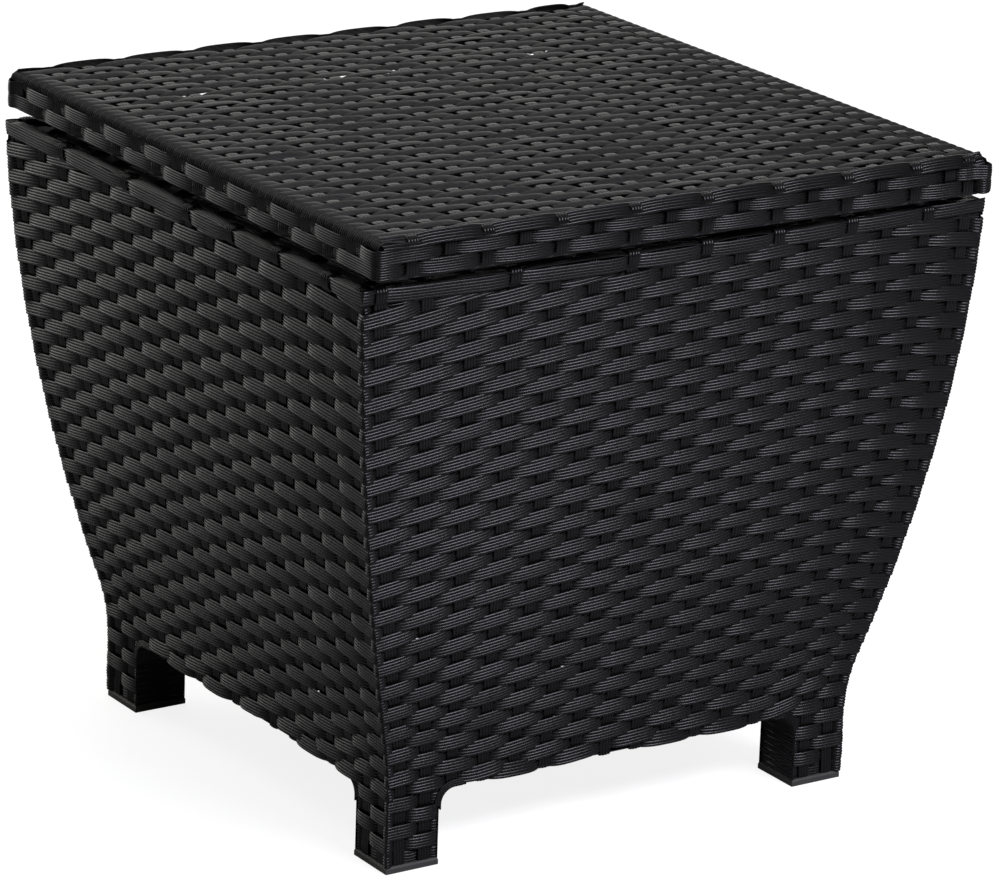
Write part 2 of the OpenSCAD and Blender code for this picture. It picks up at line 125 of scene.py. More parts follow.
# The two strands flat on the rim and the one inside it
FLAT_INSETS, FLAT_DROP, FLAT_LIFT, FLAT_TWIST = (6.2, 15.9), 3.4, 0.7, -0.06
INSIDE_INSET, INSIDE_Z, INSIDE_LIFT = 24.9, 427.5, 0.8
# The warps that pass over the strand along each rim; the others pass behind it
RIM_LOOPS = {"front": (0, 3, 6, 8, 10, 12, 14), "left": (2, 5, 8, 10, 12, 14)}
FAR_RIM_LOOPS = range(1, 16, 2)

# The lid
LID_TOP_ROWS, LID_PITCH = 51, 9.5
LID_COLUMNS = np.append(-220 + 29.1 * np.arange(16), 233.0)
# Radius of its long edges, of its end edges and of its upright corners
LID_R, LID_END_R, LID_CORNER_R = 6.5, 9.0, 5.0
LID_CORNER_LIFT = (3.6, 6.0, 4.6, 4.2)
LID_SHINGLE, LID_END_TWIST = 0.03, 0.22
# Heights of the two bands on its long sides and on its ends
BAND_Z, END_BAND_Z = (459.6, 449.5), (458.8, 450.0)

UP = np.array([0.0, 0.0, 1.0])
TO_BACK = np.array([0.0, 1.0, 0.0])
TO_LEFT = np.array([-1.0, 0.0, 0.0])


def unit(v):
    return v / np.linalg.norm(v, axis=-1, keepdims=True)


def smooth(share):
    return share * share * (3 - 2 * share)


def flare(z):
    """Share of the lean of the walls at height z: 0 at the legs, 1 at the rim."""
    def raw(z):
        low = (z - FLARE_START) ** 2 / (2 * (FLARE_TURN - FLARE_START))
        high = ((FLARE_TURN - FLARE_START) / 2 + (z - FLARE_TURN)
                - (1 - RIM_LEAN) * (z - FLARE_TURN) ** 2 / (2 * (BODY_H - FLARE_TURN)))
        return np.where(z <= FLARE_START, 0.0, np.where(z <= FLARE_TURN, low, high))
    return raw(np.asarray(z, float)) / raw(BODY_H)


def outline(ridges, width, ridge=0.55, crown=0.45):
    """Section of a strand as (across, out): the ridged face, then the flat back."""
    across = np.linspace(-width / 2, width / 2, 2 * ridges + 1)
    out = STRAND_T / 2 - ridge - crown * (2 * across / width) ** 2
    out[1::2] += ridge
    edge = width / 2 - BACK_BEVEL
    back = np.array([[edge, -STRAND_T / 2], [-edge, -STRAND_T / 2]])
    return np.vstack([np.column_stack([across, out]), back])


WEFT = outline(5, WEFT_W)
WARP = outline(4, WARP_W)
BAND = outline(6, BAND_W)
PLAIN = outline(3, WEFT_W)
LID_WEFT = outline(5, LID_WEFT_W)
WIDE_WEFT = outline(5, WEFT_W + FAR_EXTRA_W)
THIN = outline(3, 5.2)


class Strands:
    """Collects strands, each swept along its own path, and makes one closed mesh of them."""

    def __init__(self, seed):
        self.rng = np.random.default_rng(seed)
        self.points = []
        self.marks = []
        self.creases = []
        self.quads = []
        self.caps = []
        self.count = 0

    def add(self, path, across, section, twist=None, closed=False, ends=(None, None)):
        """path holds the middle of each ring, and across points along the strand's width."""
        path = np.asarray(path, float)
        steps = unit(np.roll(path, -1, 0) - path)
        before = np.roll(steps, 1, 0)
        if not closed:
            before[0] = steps[0]
            steps[-1] = before[-1]
        tangent = unit(steps + before)
        for i, end in zip((0, -1), ends):
            if end is not None:
                tangent[i] = end
        across = np.broadcast_to(across, path.shape)
        out = unit(np.cross(tangent, across))
        across = np.cross(out, tangent)
        if twist is not None:
            twist = np.broadcast_to(twist, len(path))
            c, s = np.cos(twist)[:, None], np.sin(twist)[:, None]
            across, out = across * c + out * s, out * c - across * s
        n, m = len(path), len(section)
        points = (path[:, None] + section[None, :, :1] * across[:, None]
                  + section[None, :, 1:] * out[:, None])
        tone = self.rng.uniform(0.0, 1.0)
        length = np.concatenate([[0.0], np.cumsum(np.linalg.norm(np.diff(path, axis=0), axis=1))])
        marks = np.empty((n, m, 3))
        marks[:, :, 0] = length[:, None]
        marks[:, :, 1] = np.append(np.arange(m - 2) / 2, [(m - 3) / 2, 0.0])
        marks[:, :, 2] = tone
        crease = np.arange(1, m + 1)
        crease[1:m - 2:2] = 0
        self.creases.append(np.tile(crease, n))
        i = np.arange(n if closed else n - 1)[:, None]
        j = np.arange(m)[None, :]
        near, far = i * m, (i + 1) % n * m
        quads = np.stack([near + j, far + j, far + (j + 1) % m, near + (j + 1) % m], -1)
        self.quads.append(quads.reshape(-1, 4) + self.count)
        if not closed:
            self.caps.append(np.arange(m) + self.count)
            self.caps.append(np.arange(m)[::-1] + self.count + (n - 1) * m)
        self.points.append(points.reshape(-1, 3))
        self.marks.append(marks.reshape(-1, 3))
        self.count += n * m

    def build(self, name, body, nodes):
        """One mesh object in metres that rides on body and stands for the CAD nodes."""
        points = np.concatenate(self.points) * MM
        quads = np.concatenate(self.quads)
        sizes = np.concatenate([np.full(len(quads), 4), [len(c) for c in self.caps]]).astype(int)
        corners = np.concatenate([quads.ravel()] + self.caps)
        mesh = bpy.data.meshes.new(name)
        mesh.vertices.add(len(points))
        mesh.vertices.foreach_set("co", points.ravel())
        mesh.loops.add(len(corners))
        mesh.loops.foreach_set("vertex_index", corners.astype(np.int32))
        mesh.polygons.add(len(sizes))
        mesh.polygons.foreach_set("loop_start", (np.cumsum(sizes) - sizes).astype(np.int32))
        mesh.polygons.foreach_set("use_smooth", np.ones(len(sizes), bool))
        mesh.update(calc_edges=True)
        mesh.validate()
        mesh.set_sharp_from_angle(angle=math.radians(80))
        # The grooves between ridges are sharp, and the ridges round
        crease = np.concatenate(self.creases)
        edges = np.empty(2 * len(mesh.edges), dtype=np.int32)
        mesh.edges.foreach_get("vertices", edges)
        low, high = crease[edges].reshape(-1, 2).T
        sharp = np.empty(len(mesh.edges), dtype=bool)
        mesh.edges.foreach_get("use_edge_sharp", sharp)
        mesh.edges.foreach_set("use_edge_sharp", sharp | ((low == high) & (low > 0)))
        strand = mesh.attributes.new("strand", "FLOAT_VECTOR", "POINT")
        strand.data.foreach_set("vector", np.concatenate(self.marks).ravel())
        mesh.materials.append(WICKER)
        piece = bpy.data.objects.new(name, mesh)
        bpy.context.collection.objects.link(piece)
        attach(piece, body)
        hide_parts(*nodes)


def weave_line(rng, columns, under, start, end, lift=LIFT):
    """Stations of one strand over and under its columns, from start to end, which are both
    (position, lift). Gives position, lift, sideways shift and twist at each station."""
    rows = [(start[0], start[1], 0.0, 0.0)]
    wobble = [(rng.normal(0, SHIFT_SPREAD), rng.normal(0, TWIST_SPREAD), 1 + rng.normal(0, RISE_SPREAD))
              for _ in columns]

    def climb(x0, x1, low, high, power, marks, shift=0.0, twist=0.0):
        """Climb from (x0, low) to (x1, high), with a station at each mark."""
        for x in marks:
            share = 1 - (1 - x) ** power
            rows.append((x0 + (x1 - x0) * x, low + (high - low) * share, shift * share, twist * share))

    def hold(column):
        rows.append((column - WINDOW_HALF, -lift, 0.0, 0.0))
        rows.append((column + WINDOW_HALF, -lift, 0.0, 0.0))

    for k, column in enumerate(columns):
        shift, twist, grow = wobble[k]
        top = lift * grow
        if k == 0:
            if under[0]:
                climb(column - WINDOW_HALF, start[0], -lift, start[1], WINDOW_END_POWER,
                      WINDOW_END_MARKS[::-1])
                hold(column)
            else:
                climb(start[0], column, start[1], top, BEND_END_POWER, (*BEND_END_MARKS, 1.0),
                      shift, twist)
            continue
        last = columns[k - 1]
        if under[k - 1] and not under[k]:
            climb(last + WINDOW_HALF, column, -lift, top, ARCH_POWER, (*ARCH_MARKS, 1.0), shift, twist)
        elif under[k] and not under[k - 1]:
            old_shift, old_twist, old_grow = wobble[k - 1]
            climb(column - WINDOW_HALF, last, -lift, lift * old_grow, ARCH_POWER, ARCH_MARKS[::-1],
                  old_shift, old_twist)
            hold(column)
        elif under[k]:
            # Between two warps that it stays behind it rises only a little
            rows.append(((last + column) / 2, -lift * 0.4, 0.0, 0.0))
            hold(column)
        else:
            rows.append((column, top, 0.0, 0.0))
    if under[-1]:
        climb(columns[-1] + WINDOW_HALF, end[0], -lift, end[1], WINDOW_END_POWER, WINDOW_END_MARKS)
    else:
        shift, twist, grow = wobble[-1]
        climb(end[0], columns[-1], end[1], lift * grow, BEND_END_POWER, BEND_END_MARKS[::-1], shift, twist)
    rows.append((end[0], end[1], 0.0, 0.0))
    return np.array(rows).T


def corner_wobble(corner, turn):
    """A little difference between the bends of the strands above each other at a corner."""
    return CORNER_WOBBLE * math.sin(12.9 * corner + turn)


# How the rows climb on a side, in rows: at its start, along it, the bow between, the skew of the
# bow, and the whole rows by which the legs at its start and end are off
Climb = namedtuple("Climb", "start rise bow skew leg_start leg_end")


class Side:
    """One upright side of the box or the lid. s runs along it, out away from the middle."""

    def __init__(self, name, index, rim_out, foot_out, rim_half, foot_half, y=0.0, climb=None):
        self.name = name
        self.climb = climb
        self.shift = FRONT_COLUMN_SHIFT if name == "front" else 0.0
        self.index = index
        c, s = [(1, 0), (0, 1), (-1, 0), (0, -1)][index]
        self.along = np.array([c, s, 0.0])
        self.out = np.array([s, -c, 0.0])
        self.rim_out, self.foot_out = rim_out, foot_out
        self.rim_half, self.foot_half = rim_half, foot_half
        self.y = y

    def out_at(self, z):
        return self.foot_out + (self.rim_out - self.foot_out) * flare(np.minimum(z, BODY_H))

    def half_at(self, z):
        return self.foot_half + (self.rim_half - self.foot_half) * flare(np.minimum(z, BODY_H))

    def row_height(self, row, s):
        """Height of a row at the places s. The rows climb round the box like a screw, bow up in
        the middle of each side, and run into the rim and the lower edge. Near the legs they
        spread to meet the rows of the legs."""
        by = self.climb
        z = row_z(row)
        for _ in range(3):
            share = np.clip(s / (self.half_at(z) - CORNER_R), -1.0, 1.0) / 2 + 0.5
            climb = by.start + by.rise * share + by.bow * (1 - np.abs(2 * share ** by.skew - 1) ** 3)
            low = smooth(np.clip((SPREAD_TOP - z) / SPREAD_BAND, 0, 1))
            at_start = smooth(np.clip(1.0 - share / LEG_SHARE, 0, 1))
            at_end = smooth(np.clip((share - 1.0 + LEG_SHARE) / LEG_SHARE, 0, 1))
            climb += low * (by.leg_start - by.start) * at_start
            climb += low * (by.leg_end - by.start - by.rise) * at_end
            z = row_z(row) + climb * ROW_PITCH
        return z

    def columns(self, z):
        """Where the warp columns stand at height z."""
        place = COLUMNS - COLUMNS.mean()
        high = COLUMN_PITCH * place + COLUMN_SPREAD * place ** 3
        high = high * (self.rim_half - OUTER_COLUMN_INSET) / OUTER_COLUMN
        high = high + self.shift * (1 - (place / 8.5) ** 2)
        inner = self.foot_half - INNER_COLUMN
        legs = self.foot_half - LEG_COLUMNS
        low = np.concatenate([-legs, np.linspace(-inner, inner, len(COLUMNS) - 4), legs[::-1]])
        return low + (high - low) * flare(z)

    def point(self, s, out, z):
        s, out, z = np.broadcast_arrays(s, out, z)
        p = s[:, None] * self.along + out[:, None] * self.out + z[:, None] * UP
        p[:, 1] += self.y
        return p

    def row(self, strands, height, radius, columns, under, section, bend_lift=CORNER_LIFT,
            shingle=0.0, whole=(True, True), lift=LIFT, proud=0.0, tucked=False):
        """A strand along this side at height(s), with half of the bend at either corner that it
        reaches. It stands proud by so much, or is tucked in behind the strand along the rim."""
        flats, lifts = [], []
        for end, sign in enumerate((-1, 1)):
            z = float(height(np.array(sign * self.rim_half)))
            corner = (self.index + end) % 4
            flats.append(float(self.half_at(z)) - radius)
            lifts.append(np.broadcast_to(bend_lift, 4)[corner] + corner_wobble(corner, 0.783 * z))
        # A strand that isn't whole ends behind the last warp that it reaches
        start = (-flats[0], lifts[0]) if whole[0] else (columns[0] - 5.0, -lift)
        end = (flats[1], lifts[1]) if whole[1] else (columns[-1] + 5.0, -lift)
        s, lift, shift, twist = weave_line(strands.rng, columns, under, start, end, lift)
        z = height(s) + shift
        lift = lift + proud
        if tucked:
            lift = lift - TUCK_DEPTH * smooth(np.clip((z - TUCK_START) / TUCK_BAND, 0, 1))
        path = [self.point(s, self.out_at(z) - MID_DEPTH + lift, z)]
        tangents = [None, None]
        for end, sign in enumerate((-1, 1)):
            if not whole[end]:
                continue
            turn = BEND_TURNS[::sign]
            reach = radius - MID_DEPTH + lift[0 if sign < 0 else -1]
            s_bend = sign * (flats[end] + reach * np.sin(turn))
            z_bend = height(s_bend)
            bend = self.point(s_bend, self.out_at(z_bend) - radius + reach * np.cos(turn), z_bend)
            path.insert(0 if sign < 0 else len(path), bend)
            still = np.zeros(len(turn))
            twist = np.concatenate([still, twist] if sign < 0 else [twist, still])
            tangents[end] = unit(self.along - sign * self.out)
        path = np.concatenate(path)
        place = (path - self.y * TO_BACK) @ self.along
        z = path[:, 2]
        # The strand's width follows the lean of the wall, and at a bend that of the corner
        lean = (self.out_at(z + 2) - self.out_at(z - 2)) / 4
        spread = (self.half_at(z + 2) - self.half_at(z - 2)) / 4
        past = np.abs(place) - (self.half_at(z) - radius)
        bend = np.clip(past / (radius * 0.7), 0, 1) * np.sign(place)
        across = UP + lean[:, None] * self.out + (spread * bend)[:, None] * self.along
        twist = twist + shingle * (1 - 0.75 * np.abs(bend))
        strands.add(path, across, section, twist=twist, ends=tangents)

    def upright(self, strands, s, out_z):
        """A warp up this side, from (out, z) pairs at the positions s."""
        out, z = np.array(out_z, float).T
        strands.add(self.point(np.asarray(s, float), out, z), -self.along, WARP)


SIDE_NAMES = ("front", "right", "back", "left")


def make_sides(rim, foot, y=0.0, climbs=(None,) * 4):
    """The four sides of a box with the given (width, depth) at its rim and its foot."""
    sides = []
    for index, (name, climb) in enumerate(zip(SIDE_NAMES, climbs)):
        across, away = index % 2, 1 - index % 2
        sides.append(Side(name, index, rim[away] / 2, foot[away] / 2, rim[across] / 2, foot[across] / 2,
                          y, climb))
    return sides


BODY_SIDES = make_sides((RIM_W, RIM_D), (FOOT_W, FOOT_D), climbs=(
    Climb(-0.9, 2.3, 1.2, 1.25, 0, 3),
    Climb(1.4, 1.9, 1.1, 1.15, 3, 4),
    Climb(3.3, 1.85, 1.1, 1.15, 4, 6),
    Climb(-2.85, 1.95, 1.05, 1.1, -2, 0),
))
LID_SIDES = make_sides((LID_W, LID_D), (LID_W, LID_D), LID_Y)
CORNER_AFTER = ["front_right", "back_right", "back_left", "front_left"]


def row_z(row):
    """Middle height of a row of the body; rows below 0 are on the legs."""
    return BODY_H + (row + 0.5 - WALL_ROWS) * ROW_PITCH


def leg_row_z(row):
    base = BODY_H - WALL_ROWS * ROW_PITCH
    return base + (row + 0.5) * (base - FOOT_T) / LEG_ROWS


ROW_Z_RANGE = (WALL_LOW * ROW_PITCH + row_z(0), WALL_TOP * ROW_PITCH + row_z(0))


def is_under(row, columns):
    """Whether the weft of this row passes behind the warps of these columns."""
    return (row + columns) % 2 == 0


def wall_rows(side):
    """Every row on a side, as (row, height along it, columns, their places)."""
    low, high = ROW_Z_RANGE
    for row in range(-MORE_ROWS, WALL_ROWS + MORE_ROWS):
        def height(s, row=row):
            return np.clip(side.row_height(row, np.asarray(s, float)), row_z(0), high)

        # A first guess at about half height, made exact in three steps
        places = side.columns(250.0)
        for _ in range(3):
            z = side.row_height(row, places)
            places = np.array([side.columns(z[k])[k] for k in COLUMNS])
        z = side.row_height(row, places)
        shown = (z >= low) & (z <= high)
        # A strand that starts or ends on this side does so behind a warp
        under = is_under(row, COLUMNS)
        shown[1:] |= shown[:-1] & under[1:] & ~under[:-1]
        shown[:-1] |= shown[1:] & under[:-1] & ~under[1:]
        if shown.any():
            first, last = COLUMNS[shown][0], COLUMNS[shown][-1]
            yield row, height, COLUMNS[first:last + 1], places[first:last + 1]


def body_row(strands, side, row, height, ks, places):
    ends = side.row_height(row, np.array([-side.rim_half, side.rim_half]))
    inside = (ends >= ROW_Z_RANGE[0]) & (ends <= ROW_Z_RANGE[1])
    whole = (ks[0] == COLUMNS[0] and inside[0], ks[-1] == COLUMNS[-1] and inside[1])
    # The two far walls are woven a little closer and lean the other way, to let less light in
    near = side.name in ("front", "left")
    section, lift, shingle = (WEFT, LIFT, SHINGLE) if near else (WIDE_WEFT, FAR_LIFT, FAR_SHINGLE)
    side.row(strands, height, CORNER_R, places, is_under(row, ks), section, shingle=shingle,
             whole=whole, lift=lift, tucked=True)


def warp_lift(shows):
    """A warp stands nearly straight: a little out where it shows, a little in elsewhere."""
    return -0.45 if shows else -1.0


def wall(side):
    strands = Strands(100 + side.index)
    crossings = [[] for _ in COLUMNS]
    for row, height, ks, places in wall_rows(side):
        body_row(strands, side, row, height, ks, places)
        for k, place in zip(ks, places):
            crossings[k].append((float(height(place)), is_under(row, k)))
    top = row_z(WALL_ROWS - 1) - ROW_PITCH / 2
    base = side.out_at(SKIRT_H)
    for k in COLUMNS:
        stray = strands.rng.normal(0, WARP_STRAY)
        zs, lifts = [], []
        for z, shows in crossings[k]:
            for part in (-WARP_HOLD, WARP_HOLD):
                if z + part < top - 1 and (not zs or z + part > zs[-1] + 1):
                    zs.append(z + part)
                    lifts.append(warp_lift(shows))
        zs.append(top)
        lifts.append(-0.25)
        zs, lifts = np.array(zs), np.array(lifts)
        outs = side.out_at(zs) - MID_DEPTH + lifts
        s = np.array([side.columns(z)[k] for z in zs]) + stray
        if k in COLUMNS[2:-2]:
            # The warp turns in under the lower edge of the wall
            zs = np.concatenate([SKIRT_H - np.array([0.8, 0.8, 0.8, 0.1]), zs])
            outs = np.concatenate([base - np.array([21.0, 12.0, 4.2, 2.6]), outs])
        else:
            zs = np.concatenate([[row_z(0) - ROW_PITCH / 2], zs])
            outs = np.concatenate([[base - MID_DEPTH - 0.25], outs])
        s = np.concatenate([np.full(len(zs) - len(s), s[0]), s])
        side.upright(strands, s, np.column_stack([outs, zs]))
    # Two strands lie along the lower edge, over the turned warps
    reach = side.foot_half - LEG_W + 1
    line = np.linspace(-reach, reach, 24)
    for inset in (7.5, 17.0):
        strands.add(side.point(line, side.foot_out - inset, SKIRT_H + 0.6), side.out, PLAIN)
    strands.build("wicker_wall_" + side.name, "box", ["wall_weave_" + side.name])


# How a warp goes over the rim and down inside it, as (out, up) from the rim's outer top edge. A
# loop passes over the strand along the rim and the first flat one, and under the second. The
# other warps do the opposite
RIM_LOOP_STEPS = np.array([
    (-2.65, -ROW_PITCH - 3.0), (-0.9, -10.0), (-0.6, -5.0), (-1.4, -2.4), (-4.6, -1.1), (-8.4, -1.1),
    (-11.6, -2.5), (-14.6, -3.4), (-18.2, -3.6), (-21.2, -2.8), (-24.2, -3.4), (-25.4, -7.0),
    (-25.6, -12.0), (-25.2, -18.6)])
RIM_BEHIND_STEPS = np.array([
    (-2.65, -ROW_PITCH - 3.0), (-3.6, -10.0), (-3.6, -6.0), (-3.9, -4.2), (-6.4, -3.4), (-8.6, -3.4),
    (-11.6, -2.2), (-14.6, -1.0), (-18.2, -1.1), (-21.2, -2.4), (-23.6, -4.0), (-24.2, -8.0),
    (-24.4, -13.0), (-25.2, -18.6)])


def rim(side):
    strands = Strands(200 + side.index)
    half, out = side.rim_half, side.rim_out
    columns = side.columns(BODY_H)
    over = np.isin(COLUMNS, RIM_LOOPS.get(side.name, FAR_RIM_LOOPS))
    middle, sag = (RIM_FRONT_Z, RIM_FRONT_SAG) if side.name == "front" else (RIM_Z, RIM_SAG)

    def height(s):
        return middle + sag * ((np.asarray(s) + 30.0) / half) ** 2

    side.row(strands, height, CORNER_R, columns, over, WEFT, bend_lift=RIM_LIFT, shingle=RIM_SHINGLE,
             lift=RIM_LIFT, proud=RIM_PROUD)

    def short_line(end, under, lift, edge_lift):
        """Stations of a strand that reaches from -end to end only."""
        inside = np.abs(columns) < end - 6
        return weave_line(strands.rng, columns[inside], under[inside], (-end, edge_lift),
                          (end, edge_lift), lift=lift)

    # On the front and the back the flat strands run to the corner, and between them on the ends
    full = side.name in ("front", "back")
    for row, inset in enumerate(FLAT_INSETS):
        end = half - (1.5 if full else 8.2 + 9.8 * row)
        s, lift, shift, twist = short_line(end, ~over if row else over, FLAT_LIFT, -0.3)
        path = side.point(s, out - inset + shift, BODY_H - FLAT_DROP + lift)
        strands.add(path, -side.out, WEFT, twist=twist + FLAT_TWIST)
    s, lift, shift, twist = short_line(half - 24.5, over, INSIDE_LIFT, 0.0)
    path = side.point(s, out - INSIDE_INSET - lift, INSIDE_Z + shift)
    strands.add(path, -UP, WEFT, twist=twist)
    for k in COLUMNS:
        steps = (RIM_LOOP_STEPS if over[k] else RIM_BEHIND_STEPS) + [out, BODY_H]
        s = np.full(len(steps), columns[k] * (side.half_at(BODY_H - 5.0) / half))
        side.upright(strands, s, steps)
    strands.build("wicker_rim_" + side.name, "box", ["rim_wrap_" + side.name])


def leg(side):
    """The leg between this side and the next one round the box."""
    strands = Strands(300 + side.index)
    following = BODY_SIDES[(side.index + 1) % 4]
    half, out = side.foot_half, side.foot_out
    r = CORNER_R
    turns = np.radians([22.5, 45.0, 67.5])
    near, far = half - LEG_COLUMNS[::-1], LEG_COLUMNS
    # On the two hidden faces of the leg a strand lies level
    level_lift = 0.4
    hidden = MID_DEPTH - level_lift
    rows = [row - side.climb.leg_end for row in range(-1, -1 - LEG_ROWS, -1)]

    def arc(cs, co, lift, quarters):
        """A bend round the corner with its middle at (cs, co)."""
        reach = r - MID_DEPTH + lift
        start = quarters * math.pi / 2
        return [(cs + reach * math.sin(start + t), co + reach * math.cos(start + t)) for t in turns]

    for level, row in enumerate(rows):
        last = level == LEG_ROWS - 1
        bend = CORNER_LIFT + corner_wobble((side.index + 1) % 4, 7.7 * (-1 - level))
        under_near, under_far = (last | is_under(row, COLUMNS[pair]) for pair in ([14, 15], [0, 1]))
        s1, l1, h1, _ = weave_line(strands.rng, near, under_near, (half - LEG_W + r, level_lift),
                                   (half - r, bend))
        s2, l2, _, _ = weave_line(strands.rng, far, under_far, (r, bend), (LEG_W - r, level_lift))
        flat = [(s, out - MID_DEPTH + l) for s, l in zip(s1, l1)]
        flat += arc(half - r, out - r, bend, 0)
        flat += [(half - MID_DEPTH + l, out - s) for s, l in zip(s2, l2)]
        flat += arc(half - r, out - LEG_W + r, level_lift, 1)
        flat += [(half - x, out - LEG_W + hidden) for x in (r, LEG_W / 2, LEG_W - r)]
        flat += arc(half - LEG_W + r, out - LEG_W + r, level_lift, 2)
        flat += [(half - LEG_W + hidden, out - x) for x in (LEG_W - r, LEG_W / 2, r)]
        flat += arc(half - LEG_W + r, out - r, level_lift, 3)
        flat = np.array(flat)
        shift = np.zeros(len(flat))
        shift[:len(h1)] = h1
        path = side.point(flat[:, 0], flat[:, 1], leg_row_z(-1 - level) + shift)
        strands.add(path, UP, WEFT, closed=True)
    for face, column, s in ((side, 14, near[0]), (side, 15, near[1]),
                            (following, 0, far[0] - following.foot_half),
                            (following, 1, far[1] - following.foot_half)):
        steps = [(-0.25, row_z(0) - ROW_PITCH / 2)]
        for level, row in enumerate(rows):
            lift = 0.25 if level == LEG_ROWS - 1 else warp_lift(is_under(row, column))
            steps += [(lift, leg_row_z(-1 - level) + part) for part in (WARP_HOLD, -WARP_HOLD)]
        steps.append((-0.1, FOOT_T + 0.2))
        steps = np.array(steps[::-1]) + [face.foot_out - MID_DEPTH, 0]
        face.upright(strands, np.full(len(steps), s), steps)
    fillets(strands, side, half - LEG_W, 1)
    fillets(strands, following, LEG_W - following.foot_half, -1)
    corner = CORNER_AFTER[side.index]
    strands.build("wicker_leg_" + corner, "box", ["leg_wrap_" + corner])


def fillets(strands, side, edge, sign):
    """Strands round the hollow corner under the wall, beside the leg edge at s = edge."""
    turns = np.radians(np.linspace(0, 90, 9))
    middle = np.array([edge - sign * FILLET_R, SKIRT_H - FILLET_R])

    def arc(radius, before, after):
        s = middle[0] + sign * radius * np.cos(turns)
        z = middle[1] + radius * np.sin(turns)
        s = np.concatenate([[s[0]], s, [s[-1] - sign * after]])
        z = np.concatenate([[z[0] - before], z, [z[-1]]])
        return s[::sign], z[::sign]

    s, z = arc(FILLET_R + 2.6, 1.0, 9.0)
    radial = unit(np.column_stack([s, z]) - middle)
    across = -sign * (radial[:, :1] * side.along + radial[:, 1:] * UP)
    strands.add(side.point(s, side.foot_out - 1.5, z), across, THIN)
    for inset in (6.0, 15.8):
        s, z = arc(FILLET_R + 0.5, 4.0, 6.0)
        strands.add(side.point(s, side.foot_out - inset, z), side.out, WEFT)


def lid_profile(half, radius=LID_R):
    """How the lid's skin runs over its rounded edge and down the side: a function that turns arc
    length from the middle, and lift, into (across, z), and the arc length where the rounding ends."""
    flat = half - radius
    reach = radius - MID_DEPTH
    quarter = reach * math.pi / 2

    def at(s, lift):
        s, lift = np.asarray(s, float), np.asarray(lift, float)
        over = np.abs(s) - flat
        angle = np.clip(over / reach, 0, math.pi / 2)
        down = np.maximum(over - quarter, 0)
        x = np.where(over < 0, np.abs(s), flat + reach * np.sin(angle)) + lift * np.sin(angle)
        z = LID_TOP_Z - radius + (reach + lift) * np.cos(angle) - down
        return np.sign(s) * x, z
    return at, flat + quarter


def lid_tail(row, edge, upper, lower):
    """The end of a strand of the top as (arc length, lift). Two in three end behind the upper band.
    Of the others, half pass over the upper band and behind the lower, and half the other way."""
    if row % 3 != 2:
        rest = [(edge - 3.0, 2.2), (edge - 1.4, 1.2), (upper - 2.6, -0.3), (upper - 1.0, -1.2)]
    elif row % 6 == 2:
        rest = [(edge - 2.4, 2.6), (edge - 0.4, 2.3), (upper - 2.7, 2.0), (upper + 2.7, 1.9),
                (upper + 5.4, 0.6), (lower - 2.7, -1.0), (lower + 4.0, -1.0)]
    else:
        rest = [(edge - 3.0, 1.8), (edge - 1.0, 0.6), (upper - 2.7, -0.8), (upper + 2.7, -0.8),
                (upper + 5.4, 0.4), (lower - 2.7, 1.8), (lower + 2.7, 1.8), (lower + 5.6, -0.3)]
    return np.array([(edge - 8.0, 2.3), (edge - 5.0, 2.6)] + rest)


def warp_over_rows(places, shows, shown_lift, hidden_lift):
    """Stations of a warp on the lid or the floor, just before and after each row's place."""
    stations = places[:, None] + [-LID_WARP_HOLD, LID_WARP_HOLD]
    return stations.ravel(), np.repeat(np.where(shows, shown_lift, hidden_lift), 2)


def lid_top():
    strands = Strands(400)
    across_x, edge = lid_profile(LID_W / 2, LID_END_R)
    across_y, _ = lid_profile(LID_D / 2)
    upper, lower = (edge + LID_TOP_Z - LID_END_R - z for z in END_BAND_Z)
    rows = np.arange(LID_TOP_ROWS)
    places = (rows - rows.mean()) * LID_PITCH
    bend = LID_W / 2 - LID_END_R
    for row, place in zip(rows, places):
        under = (row + np.arange(len(LID_COLUMNS))) % 2 == 1
        s, lift, shift, twist = weave_line(strands.rng, LID_COLUMNS, under, (-bend, 1.8), (bend, 1.8),
                                           LID_LIFT)
        tail = lid_tail(row, edge, upper, lower)
        still = np.zeros(len(tail))
        turned = np.linspace(0.0, LID_END_TWIST, len(tail))
        x, z = across_x(np.concatenate([-tail[::-1, 0], s, tail[:, 0]]),
                        np.concatenate([tail[::-1, 1], lift, tail[:, 1]]))
        y = LID_Y + place + np.concatenate([still, shift, still])
        twist = np.concatenate([turned[::-1], twist, turned]) + LID_SHINGLE
        strands.add(np.column_stack([x, y, z]), TO_BACK, LID_WEFT, twist=twist)
    # One more short strand fills each corner of the top
    tail = np.array([(edge - 46.0, -1.2), (edge - 26.0, -0.9), (edge - 12.0, 1.4), (edge - 8.0, 2.3),
                     (edge - 5.0, 2.6), (edge - 3.0, 2.0), (edge - 1.4, 1.0), (upper - 2.6, -0.3),
                     (upper - 1.0, -1.2)])
    for end in (-1, 1):
        y = LID_Y + end * (places[-1] + 0.93 * LID_PITCH)
        for sign in (-1, 1):
            x, z = across_x(tail[:, 0] * sign, tail[:, 1])
            path = np.column_stack([x, np.full(len(x), y), z - 0.4])
            strands.add(path[::sign], TO_BACK, LID_WEFT)
    bend = LID_D / 2 - LID_R
    for k, x in enumerate(LID_COLUMNS):
        s, lift = warp_over_rows(places, (rows + k) % 2 == 1, 1.2, -0.3)
        y, z = across_y([-bend, *s, bend], [-0.3, *lift, -0.3])
        x = x + strands.rng.normal(0, LID_WARP_STRAY)
        strands.add(np.column_stack([np.full(len(y), x), y + LID_Y, z]), TO_LEFT, WARP)
    strands.build("wicker_lid_top", "lid", ["lid_top_weave"])


